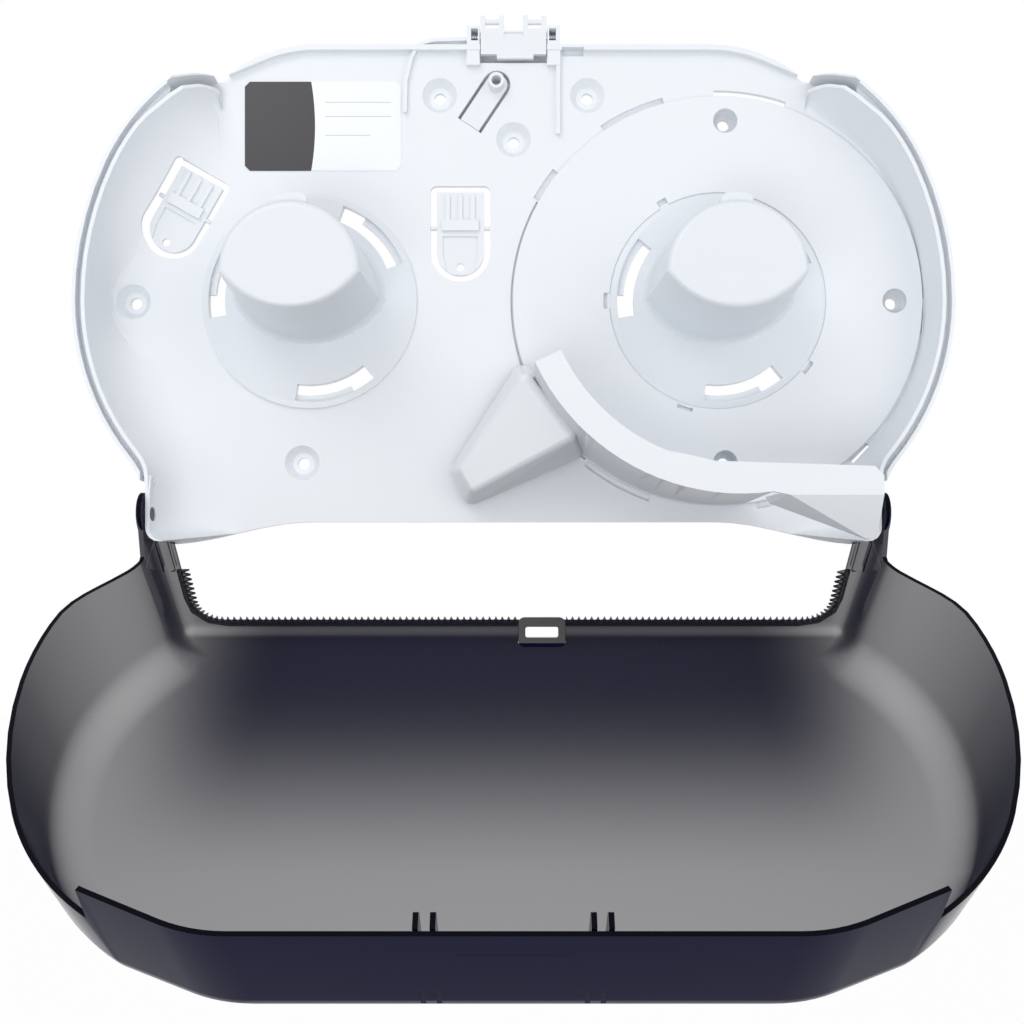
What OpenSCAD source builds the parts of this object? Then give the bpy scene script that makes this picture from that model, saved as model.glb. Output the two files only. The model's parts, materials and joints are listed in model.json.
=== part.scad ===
// Twin jumbo toilet roll dispenser, wall hung, with its smoke-grey cover hinged open.
// X runs right, +Y runs into the wall and +Z up. The wall plane is Y = 0, both roll
// axes lie at Z = 0 and the middle is X = 0. A depth is measured forward of the wall.

/* [Housing shell] */
// Half width over the two legs
leg_x = 211; // [209:0.5:211]
// Lowest point of the legs, below the roll axes
leg_z = -146; // [-148:1:-144]
// Front of the flat floor sheet
floor_front = 8.5; // [8:0.1:9]
// Thickness of the floor sheet and of the curved skins
floor_wall = 3; // [2:0.1:3.5]
// Front of the side rims
rim_d = 42; // [40:0.5:44]
// Front of the lip along the top
lip_d = 12.5; // [11.5:0.1:13]
// Reach of the curve between floor and rim
curve_reach = 34; // [24:1:36]
// Height of the straight top edge above the roll axes
top_z = 153; // [151:0.5:154]

/* [Rolls] */
// Distance between the two roll axes
roll_spacing = 245; // [243:1:247]
// Radius of the round hub under each roll post
hub_r = 61.5; // [60.8:0.1:62]
// Half width of a roll post at its root
post_r = 42.5; // [38:0.5:43]
// Front end of the roll posts
post_d = 80; // [70:1:84]

/* [Turning ring and guard] */
// Outer radius of the flat ring
ring_r = 122.8; // [121:0.1:122.8]
// Running clearance between the ring and its hub
ring_fit = 0.08; // [0.02:0.01:0.1]
// Front of the guard's flange
guard_d = 89; // [80:1:92]

/* [Wall holes] */
// Radius of the screw holes
screw_r = 3.5; // [2.5:0.1:4]
// Spacing of the outer pair
outer_pair = 457.2; // [455:0.1:458]
// Spacing of the upper pair
upper_pair = 88.9; // [86:0.1:92]
// Spacing of the lower pair
lower_pair = 254; // [250:0.1:258]

/* [Cover] */
// Angle by which the cover is open at rest
open_angle = 137.4; // [100:0.1:137.4]
// Wall thickness of the cover
cover_wall = 2.4; // [2:0.1:2.8]
// Front of the cover ahead of its hinge, at the bottom
cover_u = 107; // [100:0.5:112]
// Backward lean of the front, as a slope
cover_lean = 0.185; // [0.15:0.005:0.22]
// Radius between the cover's sides and its front
corner_r = 22; // [16:0.5:26]
// Radius of a hinge pin
pin_r = 4; // [3:0.1:4.5]
// Length of one tooth of the tear edge
tooth_h = 5.4; // [4:0.1:6]

/* [Brakes, finger and latch] */
// Half width of a brake flap's opening
flap_r = 18; // [16:0.5:19]
// Width of the slot round a brake flap
flap_slot = 3.85; // [3:0.05:4.5]
// Radius of the latch's pin
latch_pin_r = 1.4; // [1:0.05:1.5]
// Wire of the latch springs
spring_wire = 0.7; // [0.5:0.05:0.8]

/* [Hidden] */
$fn = 96;

shell_white = [0.85, 0.87, 0.89];
post_white = [0.93, 0.94, 0.96];
smoke_grey = [0.33, 0.33, 0.38, 0.75];
moulded_black = [0.06, 0.06, 0.08];
bright_steel = [0.75, 0.76, 0.78];

air = 0.3;              // gap between neighbouring pieces that move or drop in
slip = 0.06;            // radial clearance of a pin that turns
cut = 1;                // how far a cut runs past what it cuts
floor_back = floor_front - floor_wall;
hub_x = roll_spacing / 2;

// ---- outline of the housing, as arcs that meet without a corner ----
leg_corner_r = 8;
flare_r = 49.5;
lobe_c = [108, -7];
lobe_r = 146;
shoulder_r = 190;
shoulder_end = 25;
upper_r = 129;
upper_end = 57.8;
crown_r = 26;
flare_c = [leg_x + flare_r,
  lobe_c[1] - sqrt(pow(lobe_r + flare_r, 2) - pow(leg_x + flare_r - lobe_c[0], 2))];
flare_end = atan2(flare_c[1] - lobe_c[1], flare_c[0] - lobe_c[0]);
shoulder_c = lobe_c - [shoulder_r - lobe_r, 0];
upper_c = shoulder_c + (shoulder_r - upper_r) * [cos(shoulder_end), sin(shoulder_end)];
crown_c = upper_c + (upper_r - crown_r) * [cos(upper_end), sin(upper_end)];
top_arc_r = 84;
top_arc_c = [118, top_z - top_arc_r];
hem_z = -132.6;         // bottom edge between the legs
hem_start = 122;        // where the bottom edge starts to drop towards a leg

rim_w = 7.4;            // outer lip, groove and inner lip together
outer_lip = 2;
cover_inset = 2.4;      // cover's outside from the housing's outline
cover_gap = 0.4;        // cover to either lip
swing_gap = 1.4;        // cover to outer lip where the cover's edge lies deep
deep_x = 199;           // half width inside which the groove is deep
slope_x0 = 173;         // the side rim falls from rim_d ...
slope_x1 = 197;         // ... to lip_d between these half widths
rim_bottom = -112;

hinge_d = 39;
hinge_z = -130;
hinge_at = [0, -hinge_d, hinge_z];

function arc(c, r, a0, a1, n) =
  [for (i = [0:n]) let (a = a0 + (a1 - a0) * i / n) c + r * [cos(a), sin(a)]];
function rest_of(v) = [for (i = [1:len(v) - 1]) v[i]];
function both_sides(p) = concat(p, [for (i = [len(p) - 1:-1:0]) [-p[i][0], p[i][1]]]);
function clamp(v, lo, hi) = min(max(v, lo), hi);
function smooth(t) = let (c = clamp(t, 0, 1)) c * c * (3 - 2 * c);

// A station is a point of the flank and the direction that leads inwards from it.
function bend(c, r, a0, a1, n, s) =
  [for (i = [0:n]) let (a = a0 + (a1 - a0) * i / n, u = [cos(a), sin(a)]) [c + r * u, s * u]];
function flank_stations() = concat(
  bend(flare_c, flare_r, 180, 180 + flare_end, 7, 1),
  rest_of(bend(lobe_c, lobe_r, flare_end, 0, 9, -1)),
  rest_of(bend(shoulder_c, shoulder_r, 0, shoulder_end, 6, -1)),
  rest_of(bend(upper_c, upper_r, shoulder_end, upper_end, 8, -1)));
function inset_at(s, i) = s[0] + i * s[1];

function hem_at(x) = hem_z + (leg_z - hem_z) * smooth((x - hem_start) / (leg_x - hem_start - 2));
function hem() = [for (k = [0:8]) let (x = hem_start + (leg_x - leg_corner_r - hem_start) * k / 8)
  [x, hem_at(x)]];
function outline() = both_sides(concat(
  hem(),
  rest_of(arc([leg_x - leg_corner_r, leg_z + leg_corner_r], leg_corner_r, -90, 0, 5)),
  [for (s = flank_stations()) s[0]],
  rest_of(arc(crown_c, crown_r, upper_end, 90, 5)),
  arc(top_arc_c, top_arc_r, 54, 90, 7)));

// The cover's outside, seen from the front with the cover shut; i insets it.
cover_side = leg_x + 3.2;
cover_bottom = hinge_z - 8;
cover_top = top_z - 4.5;
cover_flare_r = flare_r + cover_inset;
cover_flare_a = 180 - acos((flare_c[0] - cover_side) / cover_flare_r);
cover_corner = 11;
cover_crown_r = 32;
cover_crown_c = upper_c
  + (upper_r - cover_inset - cover_crown_r) * [cos(upper_end), sin(upper_end)];
crown_turn = 68;
cover_top_r = top_arc_r - 5;
cover_top_c = [top_arc_c[0], cover_top - cover_top_r];
function edge_points(a, b, n, inward) =
  [for (k = [0:n]) [a + (b - a) * k / n, inward]];
function cover_half() = concat(
  bend([cover_side - cover_corner, cover_bottom + cover_corner], cover_corner, -90, 0, 5, -1),
  rest_of(edge_points([cover_side, cover_bottom + cover_corner],
    [cover_side, flare_c[1] + cover_flare_r * sin(cover_flare_a)], 3, [-1, 0])),
  rest_of(bend(flare_c, cover_flare_r, cover_flare_a, 180 + flare_end, 4, 1)),
  rest_of(bend(lobe_c, lobe_r - cover_inset, flare_end, 0, 10, -1)),
  rest_of(bend(shoulder_c, shoulder_r - cover_inset, 0, shoulder_end, 5, -1)),
  rest_of(bend(upper_c, upper_r - cover_inset, shoulder_end, upper_end, 12, -1)),
  rest_of(bend(cover_crown_c, cover_crown_r, upper_end, crown_turn, 2, -1)),
  bend(cover_top_c, cover_top_r, crown_turn, 90, 6, -1));
function cover_stations() = let (h = cover_half()) concat(h,
  [for (i = [len(h) - 1:-1:0]) [[-h[i][0][0], h[i][0][1]], [-h[i][1][0], h[i][1][1]]]]);
function cover_path(i) = [for (s = cover_stations()) inset_at(s, i)];

// ---- helpers that place flat shapes ----
// A shape drawn in X and Z, from one depth to another.
module slab(d0, d1) rotate([90, 0, 0]) translate([0, 0, d0]) linear_extrude(d1 - d0) children();
// A shape drawn in depth and Z, from one X to another.
module across(x0, x1) translate([x0, 0, 0]) rotate([90, 0, 90]) linear_extrude(x1 - x0)
  mirror([1, 0]) children();
module post(x, z, r, d0, d1) translate([x, -d0, z]) rotate([90, 0, 0]) cylinder(r = r, h = d1 - d0);
module box(x0, x1, d0, d1, z0, z1) translate([x0, -d1, z0]) cube([x1 - x0, d1 - d0, z1 - z0]);
module left_and_right() { children(); mirror([1, 0, 0]) children(); }
function sector_points(r0, r1, a0, a1, n) =
  concat(arc([0, 0], r1, a0, a1, n), arc([0, 0], r0, a1, a0, n));
module sector(r0, r1, a0, a1, n = 12) polygon(sector_points(r0, r1, a0, a1, n));

// A closed skin between rings of points, all of one length.
module loft(rings) {
  n = len(rings[0]);
  m = len(rings);
  polyhedron(
    points = [for (r = rings) each r],
    faces = concat(
      [[for (i = [0:n - 1]) i]],
      [for (j = [0:m - 2], i = [0:n - 1]) let (a = j * n, b = (i + 1) % n)
        each [[a + i, a + n + i, a + n + b], [a + i, a + n + b, a + b]]],
      [[for (i = [n - 1:-1:0]) (m - 1) * n + i]]));
}

// ---- rear housing ----
mount_holes = [[-outer_pair / 2, 0], [outer_pair / 2, 0], [-upper_pair / 2, 124],
  [upper_pair / 2, 124], [0, 97.5], [-lower_pair / 2, -97], [lower_pair / 2, -97], [127, 108]];
dish_r = 10.5;
dish_floor = 3;
seat_r = 44;            // hole in the floor behind each hub
window_r0 = 50.4;
window_step = 56.5;
window_r1 = 60.4;
window_start = 22;
window_neck = 56;
window_end = 70;

flap_low = -14.5;       // centre of a flap's round end below its bars
flap_high = 25.2;       // top of a flap's opening above its bars
flap_corner = 3.6;
flap_tilt = 29.5;
left_flap_at = [-197.6, 0, 56.3];
centre_flap_at = [-31.9, 0, 44.3];
flap_bar_d = floor_front - 1.5;
function flap_points(i) = concat(
  arc([0, flap_low], flap_r - i, 180, 360, 16),
  arc([flap_r - flap_corner, flap_high - flap_corner], max(flap_corner - i, 0.6), 0, 90, 4) -
    [for (k = [0:4]) [max(i - flap_corner + 0.6, 0), max(i - flap_corner + 0.6, 0)]],
  arc([flap_corner - flap_r, flap_high - flap_corner], max(flap_corner - i, 0.6), 90, 180, 4) -
    [for (k = [0:4]) [-max(i - flap_corner + 0.6, 0), max(i - flap_corner + 0.6, 0)]]);
module at_left_flap() translate(left_flap_at) rotate([0, flap_tilt, 0]) children();
module at_centre_flap() translate(centre_flap_at) children();

finger_root = [-26.45, 0, 106.2];
finger_turn = 33.7;     // clockwise from upright
finger_l = 29.2;
finger_w = 13;
finger_slot = 1.9;
pocket_back = 0.6;      // back of the closed pockets behind the finger and the latch
function finger_points(i, root) = concat([[finger_w / 2 + i, root]],
  arc([0, finger_l], finger_w / 2 + i, 0, 180, 14), [[-finger_w / 2 - i, root]]);
module at_finger() translate(finger_root) rotate([0, finger_turn, 0]) children();

latch_half = 20.3;      // half width of the latch's opening
latch_low = 143.5;      // and its lower end
bracket_x = 28;
bracket_top = 164.4;
bracket_d = 12;
latch_z = 159.2;
latch_d = 7.5;
coil_turns = 2.75;
coil_pitch = 1.2;
pocket_x0 = 21.3;
pocket_x1 = pocket_x0 + coil_turns * coil_pitch + spring_wire + 0.1;
pocket_h = 3.6;

open_slot = [71, 91];
blind_slots = [[141, 150.5], [105, 123.6], [-9, 1], [-50, -43.5], [231, 251], [281, 286.5]];
blind_floor = floor_back + 0.6;
ring_groove = [151, 230];
slot_r0 = ring_r + 0.6;
slot_r1 = slot_r0 + 3.6;

function rim_height(x) =
  clamp(lip_d + (rim_d - lip_d) * (x - slope_x0) / (slope_x1 - slope_x0), lip_d, rim_d);
module steps_in(x_min) intersection() {
  children();
  left_and_right() box(x_min, 400, -cut, 99, rim_bottom, 200);
}
module rim_slope() left_and_right() linear_extrude(200) polygon([[-cut, -lip_d], [slope_x0, -lip_d], [slope_x1, -rim_d],
    [slope_x1, -99], [-cut, -99]]);
module outer_rim() difference() {
  slab(0, rim_d) polygon(outline());
  slab(-cut, 99) polygon(cover_path(-cover_gap));
  intersection() {
    slab(-cut, 99) polygon(cover_path(-swing_gap));
    box(-deep_x, deep_x, -cut, 99, 0, 200);
  }
  rim_slope();
  box(-400, 400, -cut, 99, -300, rim_bottom);
}
// A curve sweeps from the floor up to the rim and goes on down each leg. On the right it
// reaches as far as the turning ring leaves room, and on the left as the outer screw dish does.
curve_clear = 1.4;
skin = 2.2;
leg_front = 44;
crown_room = 2.2;       // the inner lip gives way to the cover's rounder corner
leg_reach = 6;          // how much further the curve reaches beside a leg
function leg_stations() = [for (a = [-90:22.5:0])
  [[leg_x + leg_corner_r * (cos(a) - 1), leg_z + leg_corner_r * (1 + sin(a))], [-1, 0]]];
function crown_stations() = rest_of(bend(crown_c, crown_r, upper_end, 86, 4, -1));
function curve_stations() = concat(leg_stations(), flank_stations(), crown_stations());
function rim_inset(s) = skin + (rim_w - skin) * smooth((s[0][1] + 122) / 20)
  + crown_room * smooth((s[0][1] - 98) / 18);
function curve_top(s) = rim_height(s[0][0]) + (leg_front - rim_d) * smooth((-102 - s[0][1]) / 16);
function curve_size(s, right) = let (
    full = (curve_reach + leg_reach * smooth((-92 - s[0][1]) / 24)) * (curve_top(s) - floor_front)
      / (rim_d - floor_front) - max(leg_x - s[0][0], 0) * (s[0][1] < rim_bottom ? 1 : 0),
    p = inset_at(s, rim_inset(s)),
    room = right ? norm(p - [hub_x, 0]) - ring_r - curve_clear : norm(p - mount_holes[1]) - dish_r - 2.2,
    turn = norm(s[0] - crown_c) < crown_r + 0.01 ? crown_r - rim_inset(s) - 1.5 : full)
  clamp(full, 0.3, max(min(room, turn), 0.3));
curve_steps = 6;
foot_top = leg_z + leg_corner_r;
// Beside a leg the curve's low end follows the bottom edge.
function to_hem(p) = p[1] >= foot_top - 0.01 ? p :
  let (h = hem_at(p[0])) [p[0], h + (p[1] - leg_z) * (foot_top - h) / leg_corner_r];
function curve_point(s, right, k, thick) = let (
    f = curve_size(s, right), top = curve_top(s), a = 90 * k / curve_steps,
    p = to_hem(inset_at(s, rim_inset(s) - thick + (f + thick) * (1 - cos(a)))))
  [p[0], -(top - (top - floor_front + thick) * sin(a)), p[1]];
function curve_ring(s, right) = concat(
  [for (k = [0:curve_steps]) curve_point(s, right, k, 0)],
  [for (k = [curve_steps:-1:0]) curve_point(s, right, k, skin)]);
module floor_curve(right) let (f = curve_stations())
  loft([for (k = [len(f) - 1:-1:0]) curve_ring(f[k], right)]);
function band(i0, i1) = let (s = flank_stations()) concat(
  [for (t = s) inset_at(t, i0)], [for (k = [len(s) - 1:-1:0]) inset_at(s[k], i1)]);
function under_curve(right) = let (s = flank_stations()) concat(
  [for (t = s) inset_at(t, outer_lip)],
  [for (k = [len(s) - 1:-1:0]) inset_at(s[k], rim_inset(s[k]) + max(curve_size(s[k], right) - 1, -1))]);

leg_skin = 2.5;
ear_room = 17;          // room round the hinge for the cover's ear
leg_rear_z = hinge_z - 9;
module leg() intersection() {
  across(leg_x - leg_skin, leg_x) polygon([[floor_back, rim_bottom + 4], [rim_d - 1, rim_bottom + 4],
    [leg_front, rim_bottom - 6], [leg_front, leg_z], [24, leg_z], [19, leg_rear_z], [floor_back, leg_rear_z]]);
  slab(-cut, 99) polygon(outline());
}
module dish_boss(p) post(p[0], p[1], dish_r + 1.6, 0, floor_front);
module dish_cut(p) {
  translate([p[0], -dish_floor, p[1]]) rotate([90, 0, 0])
    cylinder(r1 = 6.5, r2 = dish_r, h = floor_front - dish_floor);
  post(p[0], p[1], dish_r, floor_front - 0.01, rim_d);
  post(p[0], p[1], screw_r, -cut, floor_front);
}
module hub_windows(r0, r1, tail_r) for (k = [0:2]) rotate(120 * k) {
  sector(r0, tail_r, window_start, window_neck + 1);
  sector(r0, r1, window_neck, window_end);
}
// A curved fin stands left of the latch and runs over the top edge.
fin_low = [[-66, 113], [-65.8, 131.6]];
fin_path = [[-62.2, 146], [-59.6, 151.5], [-55, 155.6], [-48, 157.4], [-bracket_x + 1, 158]];
fin_in = [[2, -0.6], [1.8, -1.2], [1, -2], [0.3, -2.2], [0, -2.2]];
module brackets() difference() {
  union() {
    left_and_right() box(latch_half, bracket_x, 0, bracket_d, top_z - 12, bracket_top);
    box(-bracket_x, bracket_x, 0, 3.6, bracket_top - 2.4, bracket_top);
    box(-bracket_x, bracket_x, pocket_back, pocket_back + 1.2, latch_low - 2, bracket_top - 1);
    box(-bracket_x, bracket_x, pocket_back, floor_back + 0.5, latch_low - 2, latch_low);
    slab(floor_back, floor_front) polygon(concat([[-bracket_x, top_z - 4], [-57, top_z - 4]], fin_path));
    slab(floor_back, lip_d - 1) polygon(concat(fin_low, fin_path,
      [for (k = [len(fin_path) - 1:-1:0]) fin_path[k] + fin_in[k]], [[-63.6, 131.4], [-63.9, 113]]));
    box(bracket_x - 2.4, bracket_x, 0, lip_d - 1, 100, top_z);
  }
  left_and_right() box(pocket_x0, pocket_x1, 4, 99, latch_z - pocket_h, latch_z + pocket_h);
  translate([-99, -latch_d, latch_z]) rotate([0, 90, 0]) cylinder(r = latch_pin_r, h = 198);
}
module rear_housing() color(shell_white) {
  difference() {
    union() {
      difference() {
        slab(floor_back, floor_front) polygon(outline());
        steps_in(deep_x) {
          slab(-cut, 99) polygon(under_curve(true));
          mirror([1, 0, 0]) slab(-cut, 99) polygon(under_curve(false));
        }
      }
      outer_rim();
      steps_in(deep_x) left_and_right()
        slab(rim_d - 8.5, rim_d - 6) polygon(band(outer_lip - 0.5, rim_w - 1));
      floor_curve(true);
      mirror([1, 0, 0]) floor_curve(false);
      left_and_right() leg();
      for (p = mount_holes) dish_boss(p);
      translate([-hub_x, 0, 0]) slab(floor_back, floor_front + 1.9) difference() {
        circle(r = hub_r + 2.9);
        circle(r = hub_r + air);
      }
      brackets();
      at_finger() slab(pocket_back, floor_back + 0.5) polygon(finger_points(finger_slot + 1.6, -air - 1.6));
    }
    for (p = mount_holes) dish_cut(p);
    left_and_right() translate([leg_x - 12, -hinge_d, hinge_z]) rotate([0, 90, 0])
      cylinder(r = pin_r + slip, h = 20);
    left_and_right() translate([leg_x, -hinge_d, hinge_z]) rotate([0, 90, 0])
      cylinder(r = ear_room, h = 20);
    left_and_right() translate([hub_x, 0, 0]) post(0, 0, seat_r, -cut, floor_front + cut);
    for (x = [-hub_x, hub_x]) translate([x, 0, 0])
      slab(-cut, 20) hub_windows(window_r0, window_r1, window_step);
    at_left_flap() slab(-cut, 20) polygon(flap_points(0));
    at_centre_flap() slab(-cut, 20) polygon(flap_points(0));
    at_finger() slab(pocket_back + 1.2, 20) polygon(finger_points(finger_slot, -air));
    box(-latch_half + air, latch_half - air, pocket_back + 1.2, 20, latch_low, bracket_top - 2.4);
    box(29, 42, blind_floor, 20, 147.6, 151.4);
    translate([hub_x, 0, 0]) {
      slab(-cut, floor_front + cut) sector(slot_r0, slot_r1, open_slot[0], open_slot[1]);
      for (a = blind_slots) slab(blind_floor, floor_front + cut) sector(slot_r0, slot_r1, a[0], a[1]);
      slab(blind_floor, floor_front + cut) sector(ring_r + air, ring_r + 1.5, ring_groove[0], ring_groove[1], 24);
    }
  }
}

// ---- roll posts ----
disc_front = floor_front + 2.8;
flange_r = hub_r + 2.9;
flange_back = floor_front + 1.9;
post_low = 24;          // how far the post reaches below its axis
post_taper = 3.6;       // how much each side draws in from root to tip
post_skin = 2.5;
function post_ring(i, d) = let (w = post_r - i, sag = post_low - i,
    r = (w * w + sag * sag) / (2 * sag), half = asin(w / r))
  [for (p = concat(arc([0, 0], w, 0, 180, 24),
    [for (k = [1:15]) let (a = -90 - half + 2 * half * k / 16) [r * cos(a), r - sag + r * sin(a)]]))
    [p[0], -d, p[1]]];
post_rows = [for (k = [0:4]) let (a = 90 * k / 4) [-7 * (1 - sin(a)), disc_front - 1 + 8 * (1 - cos(a))]];
tip_rows = [for (k = [0:4]) let (a = 90 * k / 4) [post_taper + 4 * (1 - cos(a)), post_d - 4 + 4 * sin(a)]];
module post_shell() difference() {
  loft([for (r = concat(post_rows, tip_rows)) post_ring(r[0], r[1])]);
  loft([post_ring(post_skin, floor_back - cut), post_ring(post_skin + post_taper, post_d - post_skin)]);
}
module spindle(x) color(post_white) translate([x, 0, 0]) {
  difference() {
    union() {
      slab(floor_front, disc_front) circle(r = hub_r);
      translate([0, -flange_back, 0]) rotate([90, 0, 0])
        cylinder(r1 = flange_r, r2 = hub_r, h = disc_front - flange_back);
    }
    slab(0, 20) hub_windows(window_r0, window_r1, window_r1);
    for (k = [0:2]) rotate([0, -120 * k, 0])
      slab(0, 20) sector(window_step, window_r1, window_start, window_neck);
    loft([post_ring(post_skin, 0), post_ring(post_skin, 20)]);
  }
  post_shell();
  hull() {
    post(-4, 39, 5, post_d - 24, post_d - 5);
    post(4, 39, 5, post_d - 24, post_d - 5);
    post(0, 36, 6, post_d - 40, post_d - 30);
  }
  for (k = [0:2]) rotate([0, -120 * k, 0]) {
    slab(floor_back - 2, floor_front + 0.5) sector(seat_r - 3.2, seat_r - air, 100, 120, 4);
    slab(floor_back - 2, floor_back - air) sector(seat_r - 3.2, seat_r + 2.4, 100, 120, 4);
  }
}
module left_spindle() spindle(-hub_x);
module right_spindle() spindle(hub_x);

// ---- ring and guard, both about the right roll axis ----
ring_back = floor_front + air;
ring_front = floor_front + 2.5;
ring_lip = flange_back - air;
access_r = 7.2;
ring_holes = [[127 - hub_x, 108], [outer_pair / 2 - hub_x, 0], [lower_pair / 2 - hub_x, -97]];
ring_notches = [[176, 184, 4], [-40, -33, 4], [-111, -103, 4], [117, 122, 5]];
module reserve_ring() color(shell_white) translate([hub_x, 0, 0]) difference() {
  union() {
    slab(ring_back, ring_front) difference() {
      circle(r = ring_r);
      circle(r = flange_r + 0.6);
      for (n = ring_notches) sector(flange_r - 1, flange_r + n[2], n[0], n[1], 3);
    }
    slab(ring_back, ring_lip) difference() {
      circle(r = flange_r + 2);
      circle(r = hub_r + ring_fit);
    }
  }
  for (p = ring_holes) post(p[0], p[1], access_r, 0, 20);
}

wall_out = ring_r - 0.4;
wall_t = 3;
wall_a0 = 205;
wall_a1 = 278;
flange_in = 107;
flange_t = 3;
panel_right = 199 - hub_x;
panel_top = -107.5;
panel_step = -123;
panel_low = -146;
module guard_face() polygon(concat(
  arc([0, 0], wall_out, wall_a0, wall_a1, 20),
  [[26, panel_step], [panel_right, panel_step], [panel_right, panel_top - 5],
    [panel_right - 5, panel_top], [-14, -104.8], [-23, -102.7], [-33.6, -100.3]],
  arc([0, 0], flange_in, 249, wall_a0, 14)));
paddle_r = 5;           // radius of the paddle's rounded corners
paddle_feet = [[-117, -46], [-153, -102], [-147, -116], [-88, -90]];
paddle_tops = [[-116, -56, 56], [-150, -103, 33], [-145, -112, 32], [-92, -86, 54]];
paddle_back = floor_front + 6;
paddle_skin = 2.6;
module paddle_form(inset, drop) hull() {
  for (p = paddle_feet) translate([p[0], 0, p[1]]) slab(paddle_back - drop, paddle_back + 1)
    circle(r = paddle_r + 1.5 - inset, $fn = 24);
  for (p = paddle_tops) translate([p[0], -p[2] + paddle_r, p[1]]) rotate([90, 0, 0])
    sphere(r = paddle_r - inset, $fn = 24);
}
module roll_guard() color(post_white) translate([hub_x, 0, 0]) {
  slab(ring_front, guard_d - 1) sector(wall_out - wall_t, wall_out, wall_a0, wall_a1, 24);
  slab(guard_d - flange_t, guard_d) guard_face();
  difference() {
    paddle_form(0, 0);
    paddle_form(paddle_skin, 1);
    post(0, 0, wall_out - wall_t + 0.4, 0, 99);
  }
  hull() {
    slab(guard_d - flange_t, guard_d) polygon([[26, panel_step], [panel_right, panel_step],
      [panel_right, panel_step + 2.4], [26, panel_step + 2.4]]);
    slab(guard_d - 16, guard_d - 14) polygon([[16, -123], [18, -126.4],
      [panel_right - 6, panel_low], [panel_right, panel_low], [panel_right, panel_low + 3]]);
  }
}

// ---- brake flaps and spring finger ----
module brake_flap() color(shell_white) {
  plate = flap_slot;
  difference() {
    union() {
      slab(floor_back, floor_front) polygon(flap_points(plate));
      box(-11, 11, floor_front, floor_front + 2, -2, 4.6);
      for (x = [-7.5, 0, 7.5]) box(x - 1.2, x + 1.2, floor_front, floor_front + 1.6, 4.6, flap_high - 5.5);
      translate([-flap_r + air, -flap_bar_d, 0]) rotate([0, 90, 0])
        cylinder(r = 1.3, h = 2 * flap_r - 2 * air, $fn = 32);
    }
    post(0, -23.5, 2.4, 0, 20);
    slab(floor_front - 1, 20) polygon([[-8, -28], [8, -28], [10.5, -16], [10.5, -5], [-10.5, -5], [-10.5, -16]]);
  }
}
module left_brake_flap() at_left_flap() brake_flap();
module centre_brake_flap() at_centre_flap() brake_flap();

finger_boss_r = 4.8;
finger_hole_r = 2.8;
module spring_finger() color(shell_white) at_finger() difference() {
  union() {
    slab(floor_back + 0.5, floor_front) polygon(finger_points(0, 0));
    post(0, finger_l, finger_boss_r, floor_back, floor_front + 7);
  }
  post(0, finger_l, finger_hole_r, 2, 30);
}

// ---- latch ----
rocker_half = latch_half - air - air;
rocker_back = floor_front;
rocker_front = floor_front + 3;
module latch_rocker() color(shell_white) difference() {
  union() {
    box(-rocker_half, rocker_half, rocker_back, rocker_front, 147.5, 161.7);
    box(-10, 12, rocker_back, rocker_front, 145, 148);
    left_and_right() {
      for (x = [5.7, 16.9]) box(x, x + 2.9, rocker_back, rocker_front, 161, 170.7);
      translate([6, -(rocker_back + 1.6), 167.2]) rotate([0, 90, 0]) cylinder(r = 1.5, h = 12, $fn = 32);
      box(5.7, 19.7, rocker_back, rocker_front, 160, 163);
    }
    translate([-rocker_half, -latch_d, latch_z]) rotate([0, 90, 0]) cylinder(r = 2.6, h = 2 * rocker_half);
  }
  translate([-99, -latch_d, latch_z]) rotate([0, 90, 0]) cylinder(r = latch_pin_r + slip, h = 198);
  box(-5.8, 5.8, rocker_front - 0.8, 20, 156.4, 160.6);
}
module latch_pivot_pin() color(bright_steel)
  translate([-bracket_x, -latch_d, latch_z]) rotate([0, 90, 0]) cylinder(r = latch_pin_r, h = 2 * bracket_x);

// A spring is one tube: a straight leg, the coils, and a second straight leg.
coil_r = 2;
coil_rings = 22;
spring_room = (pocket_x1 - pocket_x0 - coil_turns * coil_pitch) / 2;
echo(spring_gap = coil_pitch - spring_wire);
function coil_point(k) = let (a = 360 * coil_turns * k / coil_rings)
  [coil_pitch * coil_turns * k / coil_rings, coil_r * cos(a), coil_r * sin(a)];
function coil_route() = concat(
  [coil_point(0) + [0, 0, -2.6]],
  [for (k = [0:coil_rings]) coil_point(k)],
  [coil_point(coil_rings) + [0, 2.2, 0]]);
function unit(v) = v / norm(v);
function tube_rings(p, r) = [for (i = [0:len(p) - 1]) let (
    t = unit(p[min(i + 1, len(p) - 1)] - p[max(i - 1, 0)]),
    side = unit(cross(t, [1, 0.02, 0.03])), up = cross(side, t))
  [for (k = [0:5]) p[i] + r * (cos(60 * k) * side + sin(60 * k) * up)]];
module latch_spring() color(bright_steel)
  translate([pocket_x0 + spring_room, -latch_d, latch_z]) loft(tube_rings(coil_route(), spring_wire / 2));
module right_latch_spring() latch_spring();
module left_latch_spring() mirror([1, 0, 0]) latch_spring();

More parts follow.
